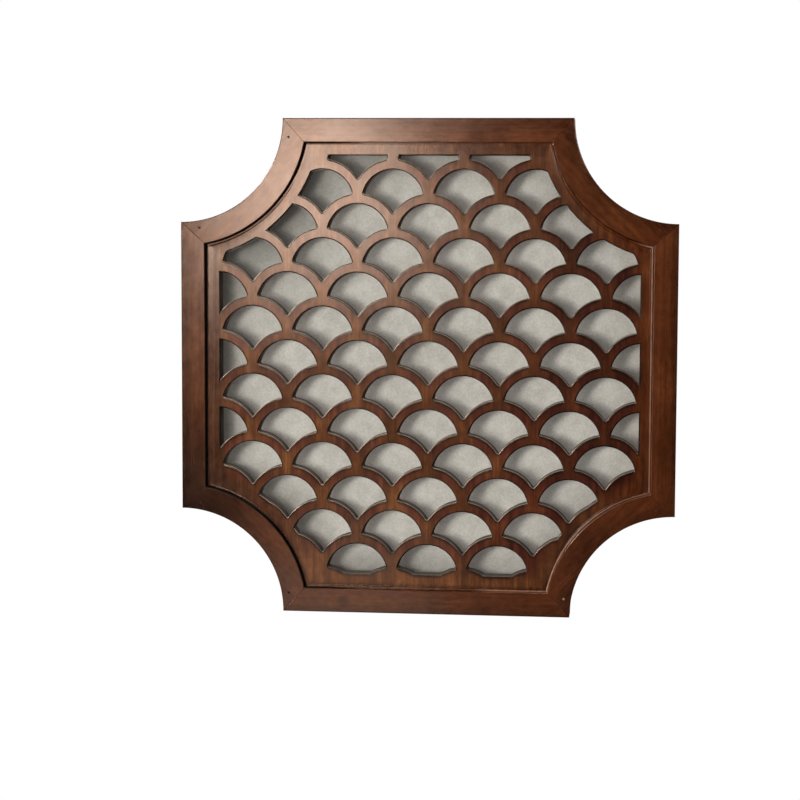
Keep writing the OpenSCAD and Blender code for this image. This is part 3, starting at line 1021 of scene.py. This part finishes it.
hanger = {
    "pivot": Vector((285.5, 2.05, -175.5)) * mm,  # the right one's; the left mirrors it
    "wire": 1.2 * mm,  # the ring's wire, a radius
    "ringWidth": 18 * mm,
    "leg": 4 * mm,  # from the knuckle's axis to the half circle's middle
    "bend": 2.2 * mm,  # how tightly the wire is bent beside the knuckle
    "sides": 20,
    "plateArris": 0.15 * mm,
    "screwDrops": (21 * mm, 34 * mm),  # below the pivot
    "strap": 0.8 * mm,
    "headRadius": 3 * mm,
    "headHeight": 1.7 * mm,
    "headRounding": 0.62,  # of its height
    "slotLength": 1.15,  # over the head's radius
    "slotWidth": 0.27,
    "slotDepth": 0.55,  # of the head's height
    "shankRadius": 1.5 * mm,
    "shankLength": 14 * mm,
    "pointLength": 3 * mm,
    "pointShare": 0.08,  # of the shank's thickness, left at the point
    "tarnish": 4,  # mm, the size of the browner spots
}


# Steel with a thin bright brass plating, drawn over polished stock: warm yellow, with fine
# streaks along the stock and duller, browner specks where the plating has tarnished
def makeBrassPlate(name, stretch, streakWidth):
    material = newMaterial(name)
    tree = material.node_tree
    place = addNode(tree, "TexCoord").outputs["Object"]
    drawn = addNode(tree, "VectorMath", {0: place, 1: stretch}, operation="MULTIPLY").outputs[0]
    streak = addNode(tree, "TexNoise", {
        "Vector": drawn,
        "Scale": 1 / (streakWidth * mm),
        "Detail": 2,
    }).outputs[0]
    tarnish = addNode(tree, "TexNoise", {
        "Vector": place,
        "Scale": 1 / (hanger["tarnish"] * mm),
        "Detail": 4,
        "Roughness": 0.65,
    }).outputs[0]
    ramp = addNode(tree, "ValToRGB", {"Fac": tarnish})
    setRamp(ramp, [(0.38, "#d9b465"), (0.58, "#cda555"), (0.74, "#8f6a35")])
    rough = addNode(tree, "Math", {
        0: addNode(tree, "Math", {0: streak, 1: 0.16, 2: 0.12}, operation="MULTIPLY_ADD").outputs[0],
        1: addNode(tree, "Math", {0: tarnish, 1: 0.25}, operation="MULTIPLY").outputs[0],
    }, operation="ADD").outputs[0]
    bump = addNode(tree, "Bump", {"Height": streak, "Strength": 0.15, "Distance": 0.02 * mm}).outputs[0]
    surface = addNode(tree, "BsdfPrincipled", {
        "Base Color": ramp.outputs[0],
        "Metallic": 1,
        "Roughness": rough,
        "Normal": bump,
    }).outputs[0]
    return finishMaterial(material, surface)


plateBrass = makeBrassPlate("brass plated strap steel", (1, 1, 0.04), 0.25)
wireBrass = makeBrassPlate("brass plated drawn wire", (1, 1, 1), 0.5)
quarterTurn = math.pi / 2


# The wire is bent to a D: a bar through the knuckle, two tight bends, two legs and a half circle
def makeRing():
    pivot = hanger["pivot"]
    half, bend = hanger["ringWidth"] / 2, hanger["bend"]
    piece = startPiece(
        "hangerRingRight",
        bpy.ops.mesh.primitive_circle_add,
        vertices=hanger["sides"],
        radius=hanger["wire"],
        location=pivot,
        rotation=(0, quarterTurn, 0),
    )
    editMode("EDGE")
    bpy.ops.mesh.select_all(action="SELECT")

    def pull(x, z):
        bpy.ops.mesh.extrude_region_move(TRANSFORM_OT_translate={"value": (x, 0, z)})

    # A positive angle turns about +Y, from +X up to +Z
    def turn(x, z, angle, steps):
        bpy.ops.mesh.spin(steps=steps, angle=angle, center=pivot + Vector((x, 0, z)), axis=(0, 1, 0))

    pull(half - bend, 0)
    turn(half - bend, bend, quarterTurn, 8)
    pull(0, hanger["leg"] - bend)
    turn(0, hanger["leg"], 2 * quarterTurn, 32)
    pull(0, bend - hanger["leg"])
    turn(bend - half, bend, quarterTurn, 8)
    pull(half - bend, 0)
    objectMode()
    closeUp(piece)
    smooth(piece, 60)
    return piece


ring = makeRing()
leftRing = copyTo(ring, "hangerRingLeft", (-2 * hanger["pivot"].x, 0, 0))
settle(ring, "ring_right", wireBrass, "hanger_brass", "hanger_ring_right")
settle(leftRing, "ring_left", wireBrass, "hanger_brass", "hanger_ring_left")

for side in ("left", "right"):
    plate = copyOfNode("hanger_plate_" + side, "hangerPlate" + side.capitalize())
    weighEdges(plate, lambda a, b, first, second: first.angle(second) > math.radians(60))
    roundEdges(plate, hanger["plateArris"], 2)
    smooth(plate)
    settle(plate, "panel", plateBrass, "hanger_brass", "hanger_plate_" + side)
print("hanger straps and rings made")


# A pan head with a cross recess over a pointed shank; its place is the strap's outer face
def makeScrew():
    radius, height = hanger["headRadius"], hanger["headHeight"]
    piece = startPiece(
        "hangerScrews",
        bpy.ops.mesh.primitive_cylinder_add,
        vertices=40,
        radius=radius,
        depth=height,
        rotation=(-math.pi / 2, 0, 0),
        location=(0, height / 2, 0),
    )
    editMode("FACE")
    pickFaces(piece, lambda face: face.normal.y < -0.99)
    bpy.ops.mesh.inset(thickness=radius - hanger["shankRadius"])
    bpy.ops.mesh.extrude_region_move(
        TRANSFORM_OT_translate={"value": (0, hanger["pointLength"] - hanger["shankLength"], 0)})
    bpy.ops.mesh.extrude_region_move(TRANSFORM_OT_translate={"value": (0, -hanger["pointLength"], 0)})
    bpy.ops.transform.resize(value=(hanger["pointShare"], 1, hanger["pointShare"]))
    bpy.ops.mesh.select_all(action="DESELECT")
    pickFaces(piece, lambda face: face.normal.y > 0.99)
    bpy.ops.mesh.bevel(offset=height * hanger["headRounding"], segments=5, profile=0.55, affect="EDGES")
    objectMode()
    for turned in (0, quarterTurn):
        bpy.ops.object.select_all(action="DESELECT")
        bpy.ops.mesh.primitive_cube_add(size=1, location=(0, height, 0))
        cutter = bpy.context.object
        cutter.scale = (
            radius * hanger["slotLength"],
            height * 2 * hanger["slotDepth"],
            radius * hanger["slotWidth"],
        )
        cutter.rotation_euler = (0, turned, 0)
        bpy.ops.object.transform_apply(location=True, rotation=True, scale=True)
        recess = piece.modifiers.new("recess", "BOOLEAN")
        recess.operation = "DIFFERENCE"
        recess.solver = "EXACT"
        recess.object = cutter
        pickOnly(piece)
        bpy.ops.object.modifier_apply(modifier=recess.name)
        bpy.data.objects.remove(cutter)
    closeUp(piece)
    smooth(piece, 40)
    return piece


screws = placeCopies(makeScrew(), [
    Vector((side * hanger["pivot"].x, hanger["strap"], hanger["pivot"].z - drop))
    for side in (-1, 1) for drop in hanger["screwDrops"]
])
screwBrass = makeBrassPlate("brass plated turned steel", (1, 0.2, 1), 0.4)
settle(screws, "panel", screwBrass, "screw_steel", "hanger_screws")
print("hanger screws made")

# Pressed wool felt discs, self-adhesive: a soft fuzzy rim and a slightly bulged side
felt = {
    "radius": 8 * mm,
    "thickness": 5 * mm,
    "rim": 0.7 * mm,
    "tuck": 0.3 * mm,  # how much the side is drawn in at its two ends
    "bulge": 0.28 * mm,  # and how far it comes out again between them
    "across": 130 * mm,  # of the right one from the panel's middle
    "height": -571 * mm,
    "fibre": 0.5,  # mm, coarser than wool so that it shows
}


def makeFelt():
    material = newMaterial("pressed wool felt")
    tree = material.node_tree
    place = addNode(tree, "TexCoord").outputs["Object"]
    fuzz = addNode(tree, "TexNoise", {
        "Vector": place,
        "Scale": 1 / (felt["fibre"] * mm),
        "Detail": 5,
        "Roughness": 0.7,
        "Distortion": 1.5,
    }).outputs[0]
    ramp = addNode(tree, "ValToRGB", {"Fac": fuzz})
    setRamp(ramp, [(0.35, "#4e4a45"), (0.5, "#6b665f"), (0.68, "#8b867d")])
    bump = addNode(tree, "Bump", {"Height": fuzz, "Strength": 0.8, "Distance": 0.25 * mm}).outputs[0]
    surface = addNode(tree, "BsdfPrincipled", {
        "Base Color": ramp.outputs[0],
        "Roughness": 0.95,
        "Sheen Weight": 0.5,
        "Sheen Roughness": 0.5,
        "Normal": bump,
    }).outputs[0]
    return finishMaterial(material, surface)


def makePad():
    piece = startPiece(
        "feltPadRight",
        bpy.ops.mesh.primitive_cylinder_add,
        vertices=48,
        radius=felt["radius"] - felt["tuck"],
        depth=felt["thickness"],
        rotation=(math.pi / 2, 0, 0),
        location=(0, felt["thickness"] / 2, felt["height"]),
    )
    editMode("FACE")
    pickFaces(piece, lambda face: face.normal.y > 0.99)
    bpy.ops.mesh.bevel(offset=felt["rim"], segments=4, affect="EDGES")
    objectMode()
    pickOnly(piece)
    editMode("FACE")
    pickFaces(piece, lambda face: abs(face.normal.y) < 0.01)
    bpy.ops.mesh.subdivide(number_cuts=3)
    objectMode()
    middle = felt["height"]
    for vertex in piece.data.vertices:
        height = vertex.co.y / felt["thickness"]
        away = Vector((vertex.co.x, 0, vertex.co.z - middle))
        if away.length > felt["radius"] * 0.9 and 0 < height < 0.9:
            vertex.co += away.normalized() * felt["bulge"] * math.sin(math.pi * height)
    smooth(piece, 50)
    return piece


pad = makePad()
leftPad = copyTo(pad, "feltPadLeft", (-felt["across"], 0, 0))
pad.data.transform(Matrix.Translation((felt["across"], 0, 0)))
woolFelt = makeFelt()
settle(pad, "panel", woolFelt, "pad_felt", "felt_pad_right")
settle(leftPad, "panel", woolFelt, "pad_felt", "felt_pad_left")
print("felt pads made")

# The piece of wall behind the openings; its edge lies hidden behind the frame
wall = {
    "halfWidth": 288 * mm,
    "cornerCut": 148 * mm,
    "stipple": 2.2,  # mm
    "cloud": 16,  # mm
    "paint": ("#a8aaa2", "#cacdc9"),
    "darkCorner": (-0.27, 0, -0.03),  # m, behind the upper left scoop
    "darkReach": (0.08, 0.26),  # m
    "darkShade": 0.6,
    "rim": (40, 95),  # mm in from the outline, where the frame's shade begins and has ended
    "rimShade": (0.55, 0.8),  # at the left and at the right
    "rimShadeFrom": (-0.05, 0.2),  # m to the right of the middle
    "glow": "#e9e4dc",
    "glowStrength": 0.08,
}


# Painted plaster, pale warm grey and dull, with the fine stipple of a roller
def makeWallPaint():
    material = newMaterial("rolled wall paint")
    tree = material.node_tree
    place = addNode(tree, "TexCoord").outputs["Object"]
    stipple = addNode(tree, "TexNoise", {
        "Vector": place,
        "Scale": 1 / (wall["stipple"] * mm),
        "Detail": 2,
    }).outputs[0]
    cloud = addNode(tree, "TexNoise", {
        "Vector": place,
        "Scale": 1 / (wall["cloud"] * mm),
        "Detail": 3,
    }).outputs[0]
    tone = addNode(tree, "Math", {
        0: stipple,
        1: 0.5,
        2: addNode(tree, "Math", {0: cloud, 1: 0.5}, operation="MULTIPLY").outputs[0],
    }, operation="MULTIPLY_ADD").outputs[0]
    ramp = addNode(tree, "ValToRGB", {"Fac": tone})
    setRamp(ramp, list(zip((0.32, 0.68), wall["paint"])))
    # The deep frame keeps light off the wall all round, and most at the upper left
    toCorner = addNode(tree, "VectorMath", {
        0: place,
        1: wall["darkCorner"],
    }, operation="DISTANCE").outputs["Value"]
    lit = addNode(tree, "MapRange", {
        "Value": toCorner,
        "From Min": wall["darkReach"][0],
        "From Max": wall["darkReach"][1],
        "To Min": wall["darkShade"],
    }, interpolation_type="SMOOTHSTEP").outputs[0]
    besideFrame = addNode(tree, "MapRange", {
        "Value": addNode(tree, "SeparateXYZ", {0: place}).outputs["X"],
        "From Min": wall["rimShadeFrom"][0],
        "From Max": wall["rimShadeFrom"][1],
        "To Min": wall["rimShade"][0],
        "To Max": wall["rimShade"][1],
    }).outputs[0]
    inwards = addNode(tree, "MapRange", {
        "Value": outlineDistance(tree)[0],
        "From Min": wall["rim"][0],
        "From Max": wall["rim"][1],
        "To Min": besideFrame,
    }, interpolation_type="SMOOTHSTEP").outputs[0]
    lit = addNode(tree, "Math", {0: lit, 1: inwards}, operation="MULTIPLY").outputs[0]
    paint = addNode(tree, "VectorMath", {0: ramp.outputs[0], 3: lit}, operation="SCALE").outputs[0]
    painted = addNode(tree, "BsdfDiffuse", {"Color": paint}).outputs[0]
    # It glows a little with the light that wall and panel throw at each other
    strength = addNode(tree, "Math", {0: lit, 1: wall["glowStrength"]}, operation="MULTIPLY").outputs[0]
    glow = addNode(tree, "Emission", {"Color": hexColour(wall["glow"]), "Strength": strength}).outputs[0]
    painted = addNode(tree, "AddShader", {0: painted, 1: glow}).outputs[0]
    # Only the camera sees it, and only from the front, so that it hides and shades nothing behind
    inFront = addNode(tree, "Math", {
        0: addNode(tree, "LightPath").outputs["Is Camera Ray"],
        1: addNode(tree, "NewGeometry").outputs["Backfacing"],
    }, operation="SUBTRACT", use_clamp=True).outputs[0]
    clear = addNode(tree, "BsdfTransparent").outputs[0]
    surface = addNode(tree, "MixShader", {0: inFront, 1: clear, 2: painted}).outputs[0]
    return finishMaterial(material, surface)


bpy.ops.object.select_all(action="DESELECT")
bpy.ops.mesh.primitive_plane_add(
    size=2 * wall["halfWidth"],
    location=(0, panel["wallY"], panel["middle"].z),
    rotation=(math.pi / 2, 0, 0),
)
wallPiece = bpy.context.object
wallPiece.name = "wallBehind"
editMode("VERT")
bpy.ops.mesh.select_all(action="SELECT")
cut = wall["cornerCut"] * math.sqrt(2) - 2 * (panel["halfWidth"] - wall["halfWidth"])
bpy.ops.mesh.bevel(offset=cut, offset_type="OFFSET", segments=1, affect="VERTICES")
objectMode()
bpy.ops.object.transform_apply(location=True, rotation=True, scale=True)
wallPiece.data.materials.append(makeWallPaint())

# Daylight falls on the panel from the left, level with its middle, and from a skylight onto what
# faces up. The window's own image gives the broad glare at the upper left, and the glows stand for
# what the room's pale things reflect. A glint from the far left picks out the arrises. Two soft
# lamps behind show the back, and two more the sides.
lights = {
    "daylight": {"place": (-1.05, -2.6, -0.28), "size": (0.6, 0.6), "watts": 45, "glare": False},
    "window": {"place": (-0.54, -2.6, -0.04), "size": (0.42, 0.42), "watts": 11.6},
    "floorGlow": {"place": (-0.45, -2.6, -1.08), "size": (0.4, 0.4), "watts": 1},
    "roomGlow": {"place": (-0.5, -2.6, -0.75), "size": (1.4, 1.2), "watts": 0.8},
    "rightGlow": {"place": (1.8, -1.6, 0.4), "size": (1.0, 1.0), "watts": 25, "lit": False},
    "skylight": {"place": (-0.2, -1.3, 1.95), "size": (1.2, 0.5), "watts": 45, "glare": False},
    "glint": {"place": (-2.0, -1.1, 0.9), "size": (0.6, 0.6), "watts": 95, "lit": False},
    "backLow": {"place": (-1.2, 2.4, -1.6), "size": (2.4, 2.4), "watts": 60},
    "backHigh": {"place": (-0.6, 2.6, 1.2), "size": (2.4, 2.4), "watts": 35},
    "leftSide": {"place": (-2.6, 0.3, 0.1), "size": (1.4, 1.4), "watts": 60, "glare": False},
    "rightSide": {"place": (2.6, 0.3, 0.1), "size": (1.4, 1.4), "watts": 60, "glare": False},
}
lightColour = "#fff6ee"
for lightName, choice in lights.items():
    data = bpy.data.lights.new(lightName, "AREA")
    data.shape = "RECTANGLE"
    data.size, data.size_y = choice["size"]
    data.energy = choice["watts"]
    data.color = hexColour(lightColour)[:3]
    lamp = bpy.data.objects.new(lightName, data)
    bpy.context.scene.collection.objects.link(lamp)
    lamp.location = choice["place"]
    lamp.rotation_euler = (panel["middle"] - lamp.location).to_track_quat("-Z", "Y").to_euler()
    lamp.visible_glossy = choice.get("glare", True)
    lamp.visible_diffuse = choice.get("lit", True)

# The room lights the panel evenly, but behind the camera it is dark to what reflects it.
# The page behind the panel is white to the camera and a dim grey to what reflects it.
room = {"lit": 0.34, "reflected": 0.02, "page": 1.0, "pageReflected": 0.12}
world = bpy.data.worlds.new("room")
bpy.context.scene.world = world
world.use_nodes = True
tree = world.node_tree
tree.nodes.clear()
rays = addNode(tree, "LightPath").outputs
heading = addNode(tree, "SeparateXYZ", {0: addNode(tree, "TexCoord").outputs["Generated"]}).outputs["Y"]
towardsPage = addNode(tree, "Math", {0: heading, 1: 0.2}, operation="GREATER_THAN").outputs[0]
mirrored = addNode(tree, "Math", {
    0: rays["Is Glossy Ray"],
    1: rays["Is Transmission Ray"],
}, operation="MAXIMUM").outputs[0]
inMirror = addNode(tree, "Mix", {
    0: towardsPage,
    2: room["reflected"],
    3: room["pageReflected"],
}).outputs[0]
strength = addNode(tree, "Mix", {0: mirrored, 2: room["lit"], 3: inMirror}).outputs[0]
strength = addNode(tree, "Mix", {0: rays["Is Camera Ray"], 2: strength, 3: room["page"]}).outputs[0]
white = hexColour("#ffffff")
background = addNode(tree, "Background", {"Color": white, "Strength": strength}).outputs[0]
addNode(tree, "OutputWorld", {"Surface": background})

# Placed by measuring the photograph: the panel's outline and its fretwork fix the view
view = {
    "place": panel["middle"] + Vector((249.8, -2609.5, 195.5)) * mm,
    "towards": Vector((-0.10832, 0.99004, -0.08999)),
    "up": Vector((-0.01357, 0.08904, 0.99594)),
    "lens": 96.75,
    "sensor": 36,
}
cameraData = bpy.data.cameras.new("camera")
cameraData.lens = view["lens"]
cameraData.sensor_width = view["sensor"]
camera = bpy.data.objects.new("camera", cameraData)
bpy.context.scene.collection.objects.link(camera)
right = view["towards"].cross(view["up"]).normalized()
up = right.cross(view["towards"]).normalized()
back = -view["towards"].normalized()
camera.matrix_world = Matrix.Translation(view["place"]) @ Matrix((right, up, back)).transposed().to_4x4()
bpy.context.scene.camera = camera
bpy.context.scene.view_settings.view_transform = "Standard"
print("wall, light and camera set")
